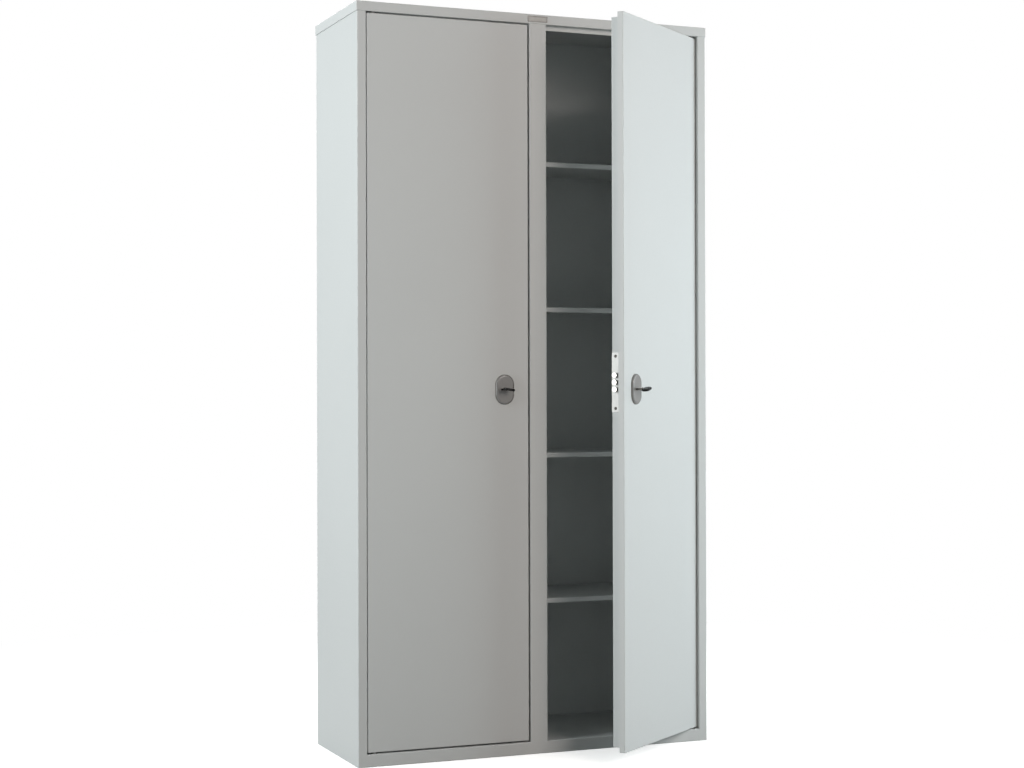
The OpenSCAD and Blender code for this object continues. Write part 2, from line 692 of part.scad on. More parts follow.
// Shaft with a bit on both sides, a collar under the bow and a flat tang inside it
module key_blade(side) color("silver") at_key(side) {
  tip = tray_in - tip_gap;
  translate([0, tip, 0]) rotate([90, 0, 0]) cylinder(h = tip - bow_y, r = shaft_d / 2);
  translate([0, bow_y + collar_l, 0]) rotate([90, 0, 0]) cylinder(h = collar_l, r = collar_d / 2);
  for (i = [0 : len(bit_steps) - 1]) translate([-bit_steps[i], bit_y + i * bit_step_l, -bit_t / 2])
    cube([2 * bit_steps[i], bit_step_l, bit_t]);
  translate([-tang_w / 2, bow_y - tang_l, -tang_t / 2]) cube([tang_w, tang_l + collar_l / 2, tang_t]);
}

module key_bow(side) color("dimgray") at_key(side) difference() {
  translate([0, bow_y - bow_l / 2, -bow_t / 2]) rotate([0, 0, 90])
    soft_oblong(bow_w, bow_l, bow_t, bow_edge, bow_edge);
  translate([-tang_w / 2 - pin_play, bow_y - tang_l - pin_play, -tang_t / 2 - pin_play])
    cube([tang_w + 2 * pin_play, tang_l + 2 * pin_play + collar_l, tang_t + 2 * pin_play]);
  translate([0, bow_y - bow_l + bow_hole_d, -bow_t]) cylinder(h = 2 * bow_t, r = bow_hole_d / 2);
}

roof_cap();
side_panel(-1);  // left_side_panel
side_panel(1);  // right_side_panel
back_panel();
floor_pan();
floor_bearer();
centre_post();
partition();
stop_strip(-1);  // left_stop_strip
stop_strip(1);  // right_stop_strip
name_plate();
upright(-1, 1);  // left_upright_1
upright(-1, 2);  // left_upright_2
upright(-1, 3);  // left_upright_3
upright(-1, 4);  // left_upright_4
upright(1, 1);  // right_upright_1
upright(1, 2);  // right_upright_2
upright(1, 3);  // right_upright_3
upright(1, 4);  // right_upright_4
shelf(-1, 0);  // left_shelf_1
shelf(-1, 1);  // left_shelf_2
shelf(-1, 2);  // left_shelf_3
shelf(-1, 3);  // left_shelf_4
shelf(1, 0);  // right_shelf_1
shelf(1, 1);  // right_shelf_2
shelf(1, 2);  // right_shelf_3
shelf(1, 3);  // right_shelf_4
shelf_hooks(-1);  // left_shelf_hooks
shelf_hooks(1);  // right_shelf_hooks
hinge_pins(-1);  // left_hinge_pins
hinge_pins(1);  // right_hinge_pins
door_skin(-1);  // left_door_skin
door_tray(-1);  // left_door_tray
door_stiffener(-1);  // left_door_stiffener
hinge_bushes(-1);  // left_hinge_bushes
lock_case(-1);  // left_lock_case
lock_cover(-1);  // left_lock_cover
lock_levers(-1);  // left_lock_levers
bolts(-1);  // left_bolts
faceplate(-1);  // left_faceplate
faceplate_screws(-1);  // left_faceplate_screws
escutcheon(-1);  // left_escutcheon
key_blade(-1);  // left_key
key_bow(-1);  // left_key_bow
door_skin(1);  // right_door_skin
door_tray(1);  // right_door_tray
door_stiffener(1);  // right_door_stiffener
hinge_bushes(1);  // right_hinge_bushes
lock_case(1);  // right_lock_case
lock_cover(1);  // right_lock_cover
lock_levers(1);  // right_lock_levers
bolts(1);  // right_bolts
faceplate(1);  // right_faceplate
faceplate_screws(1);  // right_faceplate_screws
escutcheon(1);  // right_escutcheon
key_blade(1);  // right_key
key_bow(1);  // right_key_bow
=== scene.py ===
import math

import bmesh
import bpy
from mathutils import Matrix, Vector


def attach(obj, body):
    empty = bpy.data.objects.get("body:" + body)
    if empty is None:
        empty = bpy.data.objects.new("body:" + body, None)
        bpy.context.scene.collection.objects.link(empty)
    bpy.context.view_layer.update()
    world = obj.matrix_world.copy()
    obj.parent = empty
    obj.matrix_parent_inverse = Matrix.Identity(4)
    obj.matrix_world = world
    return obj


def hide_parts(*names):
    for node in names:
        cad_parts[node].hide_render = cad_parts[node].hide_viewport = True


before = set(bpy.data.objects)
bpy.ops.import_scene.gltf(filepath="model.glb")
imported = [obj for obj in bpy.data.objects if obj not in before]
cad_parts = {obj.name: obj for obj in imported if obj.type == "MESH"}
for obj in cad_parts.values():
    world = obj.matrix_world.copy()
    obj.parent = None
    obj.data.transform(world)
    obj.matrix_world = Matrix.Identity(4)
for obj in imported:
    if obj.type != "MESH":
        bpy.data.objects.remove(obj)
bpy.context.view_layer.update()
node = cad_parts


# Body sheets: roof cap, side panels, back, floor, post, partition and stop strips are folded
# from 1.2 mm and 1 mm cold-rolled steel, spot-welded, and then powder-coated in one piece.
BODY_SHEETS = [
    "roof_cap",
    "left_side_panel",
    "right_side_panel",
    "back_panel",
    "floor_pan",
    "floor_bearer",
    "centre_post",
    "partition",
    "left_stop_strip",
    "right_stop_strip",
]
MM = 0.001
PAINT_LIGHT = "#cbcecd"
PAINT_DEEP = "#c5c8c7"
PAINT_SPECULAR = 0.22
PAINT_ROUGH_LOW = 0.46
PAINT_ROUGH_HIGH = 0.58
FLECK_DARK = 0.985
FLECK_LIGHT = 1.01
CLOUD_MM = 480.0
PEEL_MM = 5.0
PEEL_HEIGHT_MM = 0.03
GRIT_MM = 1.6
GRIT_HEIGHT_MM = 0.012
NOISE_LOW = 0.3
NOISE_HIGH = 0.7
SPOT_WELD_PITCH = 100 * MM
SPOT_WELD_X = 454.6 * MM
SPOT_WELD_R = 2.8 * MM
SPOT_WELD_FLAT_R = 0.55 * SPOT_WELD_R
SPOT_WELD_DEPTH_MM = 0.35
# Painted shade: how far the colour darkens at the bottom of a weld dent.
SPOT_WELD_PAINTED_SHADE = 0.88
FACES_BACK = 0.9


def linear(hex_colour):
    """An sRGB hex value as the linear RGBA that shaders take."""
    parts = [int(hex_colour[i : i + 2], 16) / 255 for i in (1, 3, 5)]
    return [c / 12.92 if c <= 0.04045 else ((c + 0.055) / 1.055) ** 2.4 for c in parts] + [1]


def add_node(tree, kind, inputs=None, **settings):
    """Adds a shader node; inputs are values or other nodes' sockets, by name or number."""
    made = tree.nodes.new("ShaderNode" + kind)
    for name, value in settings.items():
        setattr(made, name, value)
    for name, value in (inputs or {}).items():
        if isinstance(value, bpy.types.NodeSocket):
            tree.links.new(value, made.inputs[name])
        else:
            made.inputs[name].default_value = value
    return made


def new_finish(name):
    """An empty material, with its node tree, its shader and the surface point in metres."""
    material = bpy.data.materials.new(name)
    material.use_nodes = True
    tree = material.node_tree
    tree.nodes.clear()
    shader = add_node(tree, "BsdfPrincipled")
    add_node(tree, "OutputMaterial", {"Surface": shader.outputs["BSDF"]})
    point = add_node(tree, "TexCoord").outputs["Object"]
    return material, tree, shader, point


def coat(names, material):
    """Gives CAD nodes a finish."""
    for name in names:
        node[name].data.materials.clear()
        node[name].data.materials.append(material)


# The spot weld marks are shallow round dents that show through the coat on the back, in one
# column near each side. The value is 1 on the sheet and 0 at the bottom of a dent.
def spot_weld_height(tree, point):
    place = add_node(tree, "SeparateXYZ", {"Vector": point})
    across = add_node(tree, "Math", {0: place.outputs["X"]}, operation="ABSOLUTE")
    across = add_node(tree, "Math", {0: across.outputs[0], 1: SPOT_WELD_X}, operation="SUBTRACT")
    along = add_node(tree, "Math", {0: place.outputs["Z"], 1: SPOT_WELD_PITCH}, operation="PINGPONG")
    along = add_node(tree, "Math", {0: along.outputs[0], 1: SPOT_WELD_PITCH / 2}, operation="SUBTRACT")
    offset = add_node(tree, "CombineXYZ", {"X": across.outputs[0], "Y": along.outputs[0]})
    distance = add_node(tree, "VectorMath", {0: offset.outputs["Vector"]}, operation="LENGTH")
    dent = add_node(
        tree,
        "MapRange",
        {
            "Value": distance.outputs["Value"],
            "From Min": SPOT_WELD_FLAT_R,
            "From Max": SPOT_WELD_R,
        },
        interpolation_type="SMOOTHSTEP",
    )
    facing = add_node(tree, "SeparateXYZ", {"Vector": add_node(tree, "NewGeometry").outputs["Normal"]})
    from_behind = add_node(tree, "Math", {0: facing.outputs["Y"], 1: FACES_BACK}, operation="GREATER_THAN")
    return add_node(
        tree,
        "Mix",
        {"Factor": from_behind.outputs[0], 2: 1.0, 3: dent.outputs["Result"]},
        data_type="FLOAT",
    ).outputs[0]


# Powder coat, light grey polyester, baked: an even satin with a low orange peel of about 5 mm
# and a fine grit. The real grit is under 1 mm and is drawn at 1.6 mm so that it shows. The weld
# marks are painted a little darker in colour, as painted shade in their dents. Noise mostly keeps
# between NOISE_LOW and NOISE_HIGH, so the looks are spread over that range.
def powder_coat(name, light, deep, welded):
    material, tree, shader, point = new_finish(name)
    cloud = add_node(
        tree,
        "TexNoise",
        {"Vector": point, "Scale": 1 / (CLOUD_MM * MM), "Detail": 3.0, "Roughness": 0.5},
    )
    peel = add_node(
        tree,
        "TexNoise",
        {"Vector": point, "Scale": 1 / (PEEL_MM * MM), "Detail": 1.0, "Roughness": 0.4},
    )
    grit = add_node(
        tree,
        "TexNoise",
        {"Vector": point, "Scale": 1 / (GRIT_MM * MM), "Detail": 2.0, "Roughness": 0.6},
    )
    shade = add_node(
        tree,
        "Mix",
        {"Factor": cloud.outputs["Fac"], 6: linear(deep), 7: linear(light)},
        data_type="RGBA",
    )
    fleck = add_node(
        tree,
        "MapRange",
        {
            "Value": grit.outputs["Fac"],
            "From Min": NOISE_LOW,
            "From Max": NOISE_HIGH,
            "To Min": FLECK_DARK,
            "To Max": FLECK_LIGHT,
        },
    )
    colour = add_node(
        tree,
        "VectorMath",
        {0: shade.outputs[2], "Scale": fleck.outputs["Result"]},
        operation="SCALE",
    )
    gloss = add_node(
        tree,
        "MapRange",
        {
            "Value": peel.outputs["Fac"],
            "From Min": NOISE_LOW,
            "From Max": NOISE_HIGH,
            "To Min": PAINT_ROUGH_LOW,
            "To Max": PAINT_ROUGH_HIGH,
        },
    )
    tree.links.new(gloss.outputs["Result"], shader.inputs["Roughness"])
    shader.inputs["Specular IOR Level"].default_value = PAINT_SPECULAR
    low = add_node(
        tree,
        "Bump",
        {"Height": peel.outputs["Fac"], "Strength": 1.0, "Distance": PEEL_HEIGHT_MM * MM},
    )
    relief = add_node(
        tree,
        "Bump",
        {
            "Height": grit.outputs["Fac"],
            "Normal": low.outputs["Normal"],
            "Strength": 1.0,
            "Distance": GRIT_HEIGHT_MM * MM,
        },
    )
    if welded:
        weld = spot_weld_height(tree, point)
        # Painted shade: the colour is made darker in the weld dents.
        dent_painted_shade = add_node(tree, "MapRange", {"Value": weld, "To Min": SPOT_WELD_PAINTED_SHADE})
        colour = add_node(
            tree,
            "VectorMath",
            {0: colour.outputs["Vector"], "Scale": dent_painted_shade.outputs["Result"]},
            operation="SCALE",
        )
        relief = add_node(
            tree,
            "Bump",
            {
                "Height": weld,
                "Normal": relief.outputs["Normal"],
                "Strength": 1.0,
                "Distance": SPOT_WELD_DEPTH_MM * MM,
            },
        )
    tree.links.new(colour.outputs["Vector"], shader.inputs["Base Color"])
    tree.links.new(relief.outputs["Normal"], shader.inputs["Normal"])
    return material


body_coat = powder_coat("powder_coat_light_grey", PAINT_LIGHT, PAINT_DEEP, welded=True)
coat(BODY_SHEETS, body_coat)


# Ground welds: where the bottom rail meets the post and the two stiles, the seam is filled with
# weld, ground flush and painted over, so the front of the frame runs through without a line.
SIDES = ("left", "right")
RAIL_TOP = 30.0
BEND = 2.0
FACE_Y = -170.0
POST_HALF = 20.6
STILE_X = 438.0
WELD_PROUD = 0.05
WELD_LAP = 1.2
WELD_ROOT = 0.4
WELD_END_GAP = 0.3
ARC_STEPS = 6


def new_piece(name, verts, faces, material, body, smooth=True):
    """A mesh piece given in millimetres, finished and riding on its body."""
    mesh = bpy.data.meshes.new(name)
    mesh.from_pydata([[c * MM for c in v] for v in verts], [], faces)
    mesh.validate()
    work = bmesh.new()
    work.from_mesh(mesh)
    bmesh.ops.remove_doubles(work, verts=work.verts, dist=1e-7)
    bmesh.ops.recalc_face_normals(work, faces=work.faces)
    work.to_mesh(mesh)
    work.free()
    mesh.materials.append(material)
    made = bpy.data.objects.new(name, mesh)
    bpy.context.scene.collection.objects.link(made)
    if smooth:
        mesh.shade_smooth()
        mesh.set_sharp_from_angle(angle=math.radians(40))
    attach(made, body)
    return made


def prism(outline, ends, place):
    """Verts and faces of a bar: its outline is repeated at each end through place(a, b, end)."""
    count = len(outline)
    verts = [place(a, b, end) for end in ends for a, b in outline]
    faces = [list(range(count)), list(range(count, 2 * count))]
    faces += [[i, (i + 1) % count, count + (i + 1) % count, count + i] for i in range(count)]
    return verts, faces


# Seen on its end, the weld fills the corner outside a bend of 2 mm, laps 1.2 mm over the sheet
# on each side and stands 0.05 mm proud of it, with a very slight crown.
crown = WELD_PROUD + 0.01
groove = [(-WELD_PROUD, -BEND - WELD_LAP), (-crown, -BEND), (-crown, 0.0)]
groove += [(-WELD_PROUD, WELD_LAP), (WELD_ROOT, WELD_LAP), (BEND, 0.0)]
for step in range(1, ARC_STEPS):
    turn = math.radians(90 + 90 * step / ARC_STEPS)
    groove.append((BEND + BEND * math.cos(turn), -BEND + BEND * math.sin(turn)))
groove += [(0.0, -BEND)]
verts, faces = prism(groove, (-POST_HALF, POST_HALF), lambda a, b, x: (x, FACE_Y + a, RAIL_TOP + b))
new_piece("post_foot_weld", verts, faces, body_coat, "cabinet")
for side, sign in zip(SIDES, (-1, 1)):
    verts, faces = prism(
        groove,
        (BEND + WELD_END_GAP, RAIL_TOP - BEND),
        lambda a, b, z: (sign * (STILE_X - b), FACE_Y + a, z),
    )
    new_piece(side + "_stile_foot_weld", verts, faces, body_coat, "cabinet")


# Name plate: a blank of 0.8 mm anodised aluminium on the cap's rim, over the post. It is
# stamped with a raised border and held by two small pins, and carries no lettering.
PLATE_W = 52.0
PLATE_H = 15.0
PLATE_Z = 1788.25
PLATE_CORNER = 2.0
PLATE_T = 0.8
FIELD_T = 0.5
CHAMFER = 0.2
BORDER_INSET = 1.2
FIELD_INSET = 1.5
LINE_INSET = 2.4
LINE_CORNER = 0.5
PIN_X = 21.4
PIN_R = 1.1
MARK_STRETCH = 60
MARK_HEIGHT_MM = 0.01
STAIN_MM = 14.0


def brushed_metal(name, light, deep, grain_mm, along, rough_low, rough_high):
    """Metal with straight marks along one axis, drawn coarser than real ones so that they show."""
    material, tree, shader, point = new_finish(name)
    stretch = [1 / (grain_mm * MM)] * 3
    stretch["xyz".index(along)] = 1 / (MARK_STRETCH * grain_mm * MM)
    scaled = add_node(tree, "VectorMath", {0: point, 1: stretch}, operation="MULTIPLY")
    marks = add_node(
        tree,
        "TexNoise",
        {"Vector": scaled.outputs["Vector"], "Scale": 1.0, "Detail": 3.0, "Roughness": 0.6},
    )
    stain = add_node(tree, "TexNoise", {"Vector": point, "Scale": 1 / (STAIN_MM * MM), "Detail": 3.0})
    blend = add_node(
        tree,
        "Math",
        {0: marks.outputs["Fac"], 1: stain.outputs["Fac"]},
        operation="MULTIPLY",
    )
    shade = add_node(
        tree,
        "Mix",
        {"Factor": blend.outputs[0], 6: linear(deep), 7: linear(light)},
        data_type="RGBA",
    )
    tree.links.new(shade.outputs[2], shader.inputs["Base Color"])
    shader.inputs["Metallic"].default_value = 1.0
    rough = add_node(
        tree,
        "MapRange",
        {
            "Value": marks.outputs["Fac"],
            "From Min": NOISE_LOW,
            "From Max": NOISE_HIGH,
            "To Min": rough_low,
            "To Max": rough_high,
        },
    )
    tree.links.new(rough.outputs["Result"], shader.inputs["Roughness"])
    bump = add_node(
        tree,
        "Bump",
        {"Height": marks.outputs["Fac"], "Strength": 1.0, "Distance": MARK_HEIGHT_MM * MM},
    )
    tree.links.new(bump.outputs["Normal"], shader.inputs["Normal"])
    return material


# Anodised aluminium, brushed across: a dull grey metal, a little darker than the paint round it.
plate_alloy = brushed_metal(
    "anodised_aluminium_brushed",
    "#777774",
    "#636361",
    grain_mm=0.5,
    along="x",
    rough_low=0.42,
    rough_high=0.55,
)


def lofted(rings, hollow=False):
    """A solid whose rings follow one another; a hollow one goes back to its first ring."""
    count = len(rings[0])
    verts = [v for ring in rings for v in ring]
    total = len(verts)
    faces = [] if hollow else [list(range(count)), list(range(total - count, total))]
    for low in range(0, total if hollow else total - count, count):
        high = (low + count) % total
        for i in range(count):
            after = (i + 1) % count
            faces.append([low + i, low + after, high + after, high + i])
    return verts, faces


def round_box(half_w, half_h, radius, steps=6):
    """Points of a rectangle with round corners, around the origin."""
    points = []
    for corner, (sx, sy) in enumerate(((1, 1), (-1, 1), (-1, -1), (1, -1))):
        for step in range(steps + 1):
            turn = math.radians(90 * (corner + step / steps))
            points.append(
                (
                    sx * (half_w - radius) + radius * math.cos(turn),
                    sy * (half_h - radius) + radius * math.sin(turn),
                )
            )
    return points


# From the back to the front: the edge, its small chamfer, the border and the sunk field.
plate_steps = [(0.0, 0.0), (0.0, PLATE_T - CHAMFER), (CHAMFER, PLATE_T)]
plate_steps += [(BORDER_INSET, PLATE_T), (FIELD_INSET, FIELD_T)]
plate_rings = []
for inset, out in plate_steps:
    outline = round_box(PLATE_W / 2 - inset, PLATE_H / 2 - inset, PLATE_CORNER - inset)
    plate_rings.append([(x, FACE_Y - out, PLATE_Z + z) for x, z in outline])
verts, faces = lofted(plate_rings)
plate = new_piece("name_plate_blank", verts, faces, plate_alloy, "cabinet")
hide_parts("name_plate")

WEAR_MM = 11.0


def smooth_skin(name, light, deep, rough_low, rough_high, grain_mm, height_mm, shine=0.5):
    """Plastic or enamel: a closed, slightly uneven skin with a grain drawn coarser than it is."""
    material, tree, shader, point = new_finish(name)
    shader.inputs["Specular IOR Level"].default_value = shine
    grain = add_node(
        tree,
        "TexNoise",
        {"Vector": point, "Scale": 1 / (grain_mm * MM), "Detail": 2.0, "Roughness": 0.55},
    )
    wear = add_node(tree, "TexNoise", {"Vector": point, "Scale": 1 / (WEAR_MM * MM), "Detail": 3.0})
    shade = add_node(
        tree,
        "Mix",
        {"Factor": wear.outputs["Fac"], 6: linear(deep), 7: linear(light)},
        data_type="RGBA",
    )
    tree.links.new(shade.outputs[2], shader.inputs["Base Color"])
    rough = add_node(
        tree,
        "MapRange",
        {
            "Value": wear.outputs["Fac"],
            "From Min": NOISE_LOW,
            "From Max": NOISE_HIGH,
            "To Min": rough_low,
            "To Max": rough_high,
        },
    )
    tree.links.new(rough.outputs["Result"], shader.inputs["Roughness"])
    bump = add_node(
        tree,
        "Bump",
        {"Height": grain.outputs["Fac"], "Strength": 1.0, "Distance": height_mm * MM},
    )
    tree.links.new(bump.outputs["Normal"], shader.inputs["Normal"])
    return material


# Enamel, black, run into the groove inside the border: a thin dark line round the field.
enamel = smooth_skin(
    "enamel_black",
    "#1c1c1b",
    "#121212",
    rough_low=0.3,
    rough_high=0.4,
    grain_mm=0.8,
    height_mm=0.004,
)
sunk, proud = FIELD_T - 0.05, FIELD_T + 0.06
line_rings = []
for inset, out in ((FIELD_INSET, sunk), (FIELD_INSET, proud), (LINE_INSET, proud), (LINE_INSET, sunk)):
    outline = round_box(PLATE_W / 2 - inset, PLATE_H / 2 - inset, LINE_CORNER)
    line_rings.append([(x, FACE_Y - out, PLATE_Z + z) for x, z in outline])
verts, faces = lofted(line_rings, hollow=True)
new_piece("name_plate_line", verts, faces, enamel, "cabinet", smooth=False)

# The pins are pressed through the field, and their domed heads end level with the border.
for side, sign in zip(SIDES, (-1, 1)):
    pin_rings = []
    for reach, out in ((1.0, FIELD_T - 0.1), (1.0, 0.62), (0.8, 0.74), (0.4, PLATE_T)):
        outline = round_box(reach * PIN_R, reach * PIN_R, reach * PIN_R)
        pin_rings.append([(sign * PIN_X + x, FACE_Y - out, PLATE_Z + z) for x, z in outline])
    verts, faces = lofted(pin_rings)
    new_piece("name_plate_pin_" + side, verts, faces, plate_alloy, "cabinet")


# Shelves, slotted uprights and shelf hooks: 1 mm shelves with turned-down edges lie on small
# zinc-plated hooks, which hang in the slots of coated uprights at the front and the back.
SHELF_SHEETS = [side + "_shelf_" + str(k) for side in SIDES for k in range(1, 5)]
SHELF_SHEETS += [side + "_upright_" + str(k) for side in SIDES for k in range(1, 5)]
shelf_coat = powder_coat("powder_coat_light_grey_shelves", "#c9cccb", "#c2c5c4", welded=False)
coat(SHELF_SHEETS, shelf_coat)

ZINC_CLOUD_MM = 9.0
ZINC_GRAIN_MM = 0.7
ZINC_GRAIN_HEIGHT_MM = 0.015
ZINC_BLUE = "#b9bfc6"
ZINC_YELLOW = "#cfcfc8"


# Zinc plate, blue passivated: a cool, cloudy metal with a faint blue and yellow cast. Its clouds
# are 9 mm wide, and its fine grain is drawn at 0.7 mm, coarser than it is.
def zinc_plate(name, rough_low, rough_high):
    material, tree, shader, point = new_finish(name)
    cloud = add_node(
        tree,
        "TexNoise",
        {"Vector": point, "Scale": 1 / (ZINC_CLOUD_MM * MM), "Detail": 4.0},
    )
    grain = add_node(
        tree,
        "TexNoise",
        {"Vector": point, "Scale": 1 / (ZINC_GRAIN_MM * MM), "Detail": 2.0},
    )
    tint = add_node(tree, "ValToRGB", {"Fac": cloud.outputs["Fac"]})
    ramp = tint.color_ramp
    ramp.elements[0].position = 0.32
    ramp.elements[0].color = linear(ZINC_BLUE)
    ramp.elements[1].position = 0.68
    ramp.elements[1].color = linear(ZINC_YELLOW)
    tree.links.new(tint.outputs["Color"], shader.inputs["Base Color"])
    shader.inputs["Metallic"].default_value = 1.0
    rough = add_node(
        tree,
        "MapRange",
        {
            "Value": cloud.outputs["Fac"],
            "From Min": NOISE_LOW,
            "From Max": NOISE_HIGH,
            "To Min": rough_low,
            "To Max": rough_high,
        },
    )
    tree.links.new(rough.outputs["Result"], shader.inputs["Roughness"])
    bump = add_node(
        tree,
        "Bump",
        {"Height": grain.outputs["Fac"], "Strength": 1.0, "Distance": ZINC_GRAIN_HEIGHT_MM * MM},
    )
    tree.links.new(bump.outputs["Normal"], shader.inputs["Normal"])
    return material


zinc = zinc_plate("zinc_plate_blue_passivated", rough_low=0.3, rough_high=0.42)
coat([side + "_shelf_hooks" for side in SIDES], zinc)


# Hinges: a headed steel pin hangs from the cap and another stands in the floor, in the gaps
# over and under each door. Nylon bushes pressed into the door run on them.
coat([side + "_hinge_pins" for side in SIDES], zinc)

# Nylon, grey, moulded: dull and slightly waxy, darker than the coat round it.
nylon = smooth_skin(
    "nylon_grey_moulded",
    "#5e5e5c",
    "#525250",
    rough_low=0.4,
    rough_high=0.5,
    grain_mm=1.2,
    height_mm=0.02,
)
coat([side + "_hinge_bushes" for side in SIDES], nylon)


# Doors: an outer skin with turned edges, an inner tray welded behind it, and a hat-shaped
# stiffener between the two. They are coated with the body, closed as a box.
DOOR_SHEETS = [side + part for side in SIDES for part in ("_door_skin", "_door_tray", "_door_stiffener")]
door_coat = powder_coat("powder_coat_light_grey_doors", "#cbcecd", "#c6c9c8", welded=False)
coat(DOOR_SHEETS, door_coat)


# Lock cases, covers and levers: a zinc-plated steel box on the back of each tray holds three
# rolled brass levers. All of it is closed in by the door.
coat([side + part for side in SIDES for part in ("_lock_case", "_lock_cover")], zinc)

# Rolled brass: warm yellow, with long rolling marks.
brass = brushed_metal(
    "rolled_brass",
    "#d9b45f",
    "#b8934a",
    grain_mm=0.6,
    along="z",
    rough_low=0.25,
    rough_high=0.4,
)
coat([side + "_lock_levers" for side in SIDES], brass)


# Faceplates and bolts: a nickel-plated plate on the door's free edge, held by two sunk screws,
# and three turned round bolts of 12 mm that it guides. The screws are blackened steel. The bolts
# are bright steel, and their round sides are painted dark as painted shade.
DOOR_TURN = {"left": 0.0, "right": 38.0}
# Painted shade: the dark colour given to the bolts' round sides.
BOLT_SIDE_PAINTED_SHADE = "#232221"
BRIGHT_FROM = 0.6
BRIGHT_TO = 0.9

# Nickel plate, brushed: a light grey metal that mirrors the studio as a soft sheen.
faceplate_nickel = brushed_metal(
    "nickel_plate_brushed",
    "#a0a09e",
    "#8f8f8d",
    grain_mm=0.6,
    along="z",
    rough_low=0.44,
    rough_high=0.56,
)
coat([side + "_faceplate" for side in SIDES], faceplate_nickel)

# Blackened steel: a dark grey oxide on turned steel, with a low satin gleam.
black_steel = brushed_metal(
    "steel_blackened",
    "#4a4846",
    "#33312f",
    grain_mm=0.7,
    along="y",
    rough_low=0.3,
    rough_high=0.42,
)
coat([side + "_faceplate_screws" for side in SIDES], black_steel)


# The bright steel shows only where a bolt faces along its own axis, which follows the door; the
# round sides are painted dark as painted shade.
def bolt_steel(side):
    material = brushed_metal(
        "steel_bolt_painted_shade_sides_" + side,
        "#c8c6c1",
        "#b3b0aa",
        grain_mm=0.7,
        along="y",
        rough_low=0.2,
        rough_high=0.32,
    )
    tree = material.node_tree
    shader = next(n for n in tree.nodes if n.type == "BSDF_PRINCIPLED")
    bright = shader.inputs["Base Color"].links[0].from_socket
    turn = math.radians(DOOR_TURN[side])
    normal = add_node(tree, "TexCoord").outputs["Normal"]
    along = add_node(
        tree,
        "VectorMath",
        {0: normal, 1: (math.cos(turn), math.sin(turn), 0.0)},
        operation="DOT_PRODUCT",
    )
    along = add_node(tree, "Math", {0: along.outputs["Value"]}, operation="ABSOLUTE")
    # Painted shade: the round sides take the dark colour, and the ends keep the bright steel.
    end = add_node(
        tree,
        "MapRange",
        {"Value": along.outputs[0], "From Min": BRIGHT_FROM, "From Max": BRIGHT_TO},
    )
    mixed = add_node(
        tree,
        "Mix",
        {"Factor": end.outputs["Result"], 6: linear(BOLT_SIDE_PAINTED_SHADE), 7: bright},
        data_type="RGBA",
    )
    tree.links.new(mixed.outputs[2], shader.inputs["Base Color"])
    return material


for side in SIDES:
    coat([side + "_bolts"], bolt_steel(side))


# Escutcheons: an oblong moulding of grey ABS with a level keyhole, clipped to the outer skin of
# each door over its lock.
# ABS, moulded in a spark-eroded tool: mid grey, between satin and gloss, with an even grain.
abs_grey = smooth_skin(
    "abs_grey_moulded",
    "#6a6966",
    "#666562",
    rough_low=0.24,
    rough_high=0.27,
    grain_mm=0.9,
    height_mm=0.012,
    shine=0.8,
)
coat([side + "_escutcheon" for side in SIDES], abs_grey)


# Keys: a nickel-plated steel shaft with two stepped bits, and an oval bow of black plastic
# moulded round its tang.
# Nickel plate over turned steel: a fairly bright, slightly warm grey.
key_nickel = brushed_metal(
    "nickel_plate_turned",
    "#a9a6a1",
    "#8a8782",
    grain_mm=0.7,
    along="y",
    rough_low=0.24,
    rough_high=0.36,
)
coat([side + "_key" for side in SIDES], key_nickel)

# ABS, black, polished tool: nearly black and glossy, with soft wide highlights.
abs_black = smooth_skin(
    "abs_black_glossy",
    "#0a0a0a",
    "#070707",
    rough_low=0.22,
    rough_high=0.32,
    grain_mm=1.5,
    height_mm=0.006,
    shine=0.16,
)
coat([side + "_key_bow" for side in SIDES], abs_black)


# Studio floor and backdrop: a pale sheet under the cabinet and a white surround. They aren't
# part of the cabinet. The floor goes over to plain white away from the cabinet's shadow, and
# throws less light back near the cabinet than further out.
FLOOR_HALF = 14.0
SHADOW_NEAR = 0.9
SHADOW_FAR = 2.6
SHEET_COLOUR = "#f2f2f0"
SHEET_GLOW = 0.5
BOUNCE_NEAR = "#757573"
BOUNCE_FAR = "#91918f"
SURROUND_DIM = 0.03
floor_mesh = bpy.data.meshes.new("studio_floor")
corners = [(-1, -1), (1, -1), (1, 1), (-1, 1)]
floor_mesh.from_pydata([(x * FLOOR_HALF, y * FLOOR_HALF, 0) for x, y in corners], [], [(0, 1, 2, 3)])
studio_floor = bpy.data.objects.new("studio_floor", floor_mesh)
bpy.context.scene.collection.objects.link(studio_floor)


def shows_backdrop(tree):
    """One for the rays that see the white backdrop: from the camera, mirrored or let through."""
    path = add_node(tree, "LightPath")
    mirrored = add_node(
        tree,
        "Math",
        {0: path.outputs["Is Camera Ray"], 1: path.outputs["Is Glossy Ray"]},
        operation="MAXIMUM",
    )
    return add_node(
        tree,
        "Math",
        {0: mirrored.outputs[0], 1: path.outputs["Is Transmission Ray"]},
        operation="MAXIMUM",
    ).outputs[0]


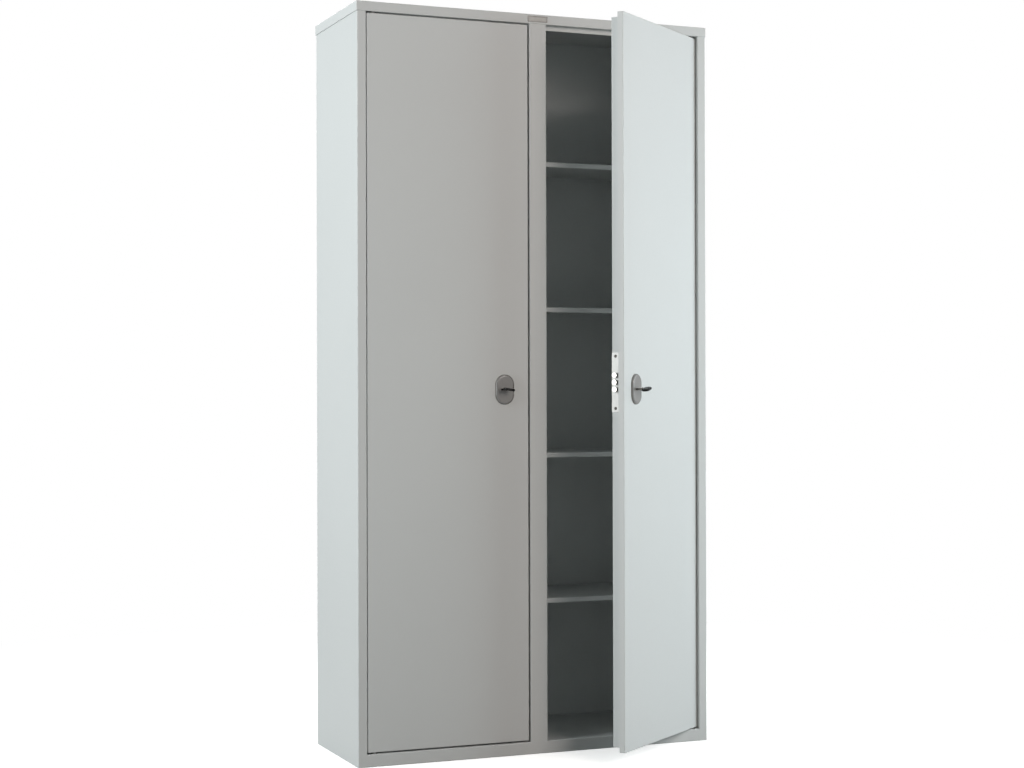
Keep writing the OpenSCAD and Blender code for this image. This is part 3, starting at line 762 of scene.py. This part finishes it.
pale_sheet = bpy.data.materials.new("pale_studio_sheet")
pale_sheet.use_nodes = True
tree = pale_sheet.node_tree
tree.nodes.clear()
point = add_node(tree, "TexCoord").outputs["Object"]
reach = add_node(tree, "VectorMath", {0: point}, operation="LENGTH")
away = add_node(
    tree,
    "MapRange",
    {"Value": reach.outputs["Value"], "From Min": SHADOW_NEAR, "From Max": SHADOW_FAR},
    interpolation_type="SMOOTHSTEP",
)
lit = add_node(tree, "BsdfDiffuse", {"Color": linear(SHEET_COLOUR)})
white = add_node(tree, "Emission", {"Color": (1, 1, 1, 1), "Strength": 1.0})
glow = add_node(tree, "Emission", {"Color": (1, 1, 1, 1), "Strength": SHEET_GLOW})
near = add_node(tree, "AddShader", {0: lit.outputs[0], 1: glow.outputs[0]})
seen = add_node(tree, "MixShader", {0: away.outputs["Result"], 1: near.outputs[0], 2: white.outputs[0]})
dull = add_node(
    tree,
    "Mix",
    {"Factor": away.outputs["Result"], 6: linear(BOUNCE_NEAR), 7: linear(BOUNCE_FAR)},
    data_type="RGBA",
)
bounce = add_node(tree, "BsdfDiffuse", {"Color": dull.outputs[2]})
surface = add_node(tree, "MixShader", {0: shows_backdrop(tree), 1: bounce.outputs[0], 2: seen.outputs[0]})
add_node(tree, "OutputMaterial", {"Surface": surface.outputs[0]})
floor_mesh.materials.append(pale_sheet)

surround = bpy.data.worlds.new("white_surround")
bpy.context.scene.world = surround
surround.use_nodes = True
tree = surround.node_tree
tree.nodes.clear()
dim = add_node(tree, "Background", {"Color": (1, 1, 1, 1), "Strength": SURROUND_DIM})
white = add_node(tree, "Background", {"Color": (1, 1, 1, 1), "Strength": 1.0})
both = add_node(tree, "MixShader", {0: shows_backdrop(tree), 1: dim.outputs[0], 2: white.outputs[0]})
add_node(tree, "OutputWorld", {"Surface": both.outputs[0]})


# Studio lamps: slightly blue softboxes at the sides give the side panel and the open door the
# most light, and one slightly warm lamp in front gives the fronts a little more than half of it.
# The other two light the roof and the back.
LAMPS = [
    # name, place, point it is turned to, size, watts, tint
    ("left_softbox", (-3.8, -0.2, 1.9), (-0.4, 0.0, 1.0), (2.0, 2.6), 145.0, (0.94, 0.985, 1.0)),
    ("right_softbox", (3.3, -1.0, 1.6), (0.4, -0.2, 1.0), (2.0, 2.4), 44.0, (0.88, 0.94, 1.0)),
    ("right_strip", (1.6, -1.5, 1.0), (0.4, -0.2, 0.9), (0.8, 1.6), 16.6, (0.8, 0.96, 1.0)),
    ("front_fill", (1.2, -5.0, 2.7), (0.0, 0.0, 1.0), (2.2, 2.0), 124.0, (1.0, 0.9, 0.855)),
    ("top_softbox", (0.0, 1.1, 4.2), (0.0, 0.0, 1.6), (2.4, 2.0), 20.0, (1.0, 1.0, 1.0)),
    ("back_fill", (0.6, 3.6, 3.6), (0.0, 0.0, 1.1), (2.6, 2.4), 126.0, (1.0, 1.0, 1.0)),
]
for name, place, aim, size, watts, tint in LAMPS:
    lamp = bpy.data.lights.new(name, "AREA")
    lamp.shape = "RECTANGLE"
    lamp.size, lamp.size_y = size
    lamp.energy = watts
    lamp.color = tint
    holder = bpy.data.objects.new(name, lamp)
    bpy.context.scene.collection.objects.link(holder)
    holder.location = place
    holder.rotation_euler = (Vector(aim) - Vector(place)).to_track_quat("-Z", "Y").to_euler()


# Camera: it stands 4.8 m away, at lock height and to the left, and looks level at the cabinet.
# Place, turn and lens were solved from the cabinet's edges in the photograph. CAMERA_TURN is yaw,
# pitch and roll in degrees.
CAMERA_PLACE = (-1.8016, -4.4010, 0.8777)
CAMERA_TURN = (-22.263, 0.272, 0.141)
LENS_PX = 1888.7
IMAGE_W = 1024
SENSOR_W = 36.0
camera = bpy.data.cameras.new("studio_camera")
camera.sensor_fit = "HORIZONTAL"
camera.sensor_width = SENSOR_W
camera.lens = LENS_PX / IMAGE_W * SENSOR_W
camera.clip_end = 100
stand = bpy.data.objects.new("studio_camera", camera)
bpy.context.scene.collection.objects.link(stand)
yaw, pitch, roll = [math.radians(a) for a in CAMERA_TURN]
stand.matrix_world = (
    Matrix.Translation(CAMERA_PLACE)
    @ Matrix.Rotation(yaw, 4, "Z")
    @ Matrix.Rotation(pitch, 4, "X")
    @ Matrix.Rotation(roll, 4, "Y")
    @ Matrix.Rotation(math.radians(90), 4, "X")
)
bpy.context.scene.camera = stand
bpy.context.scene.view_settings.view_transform = "Standard"
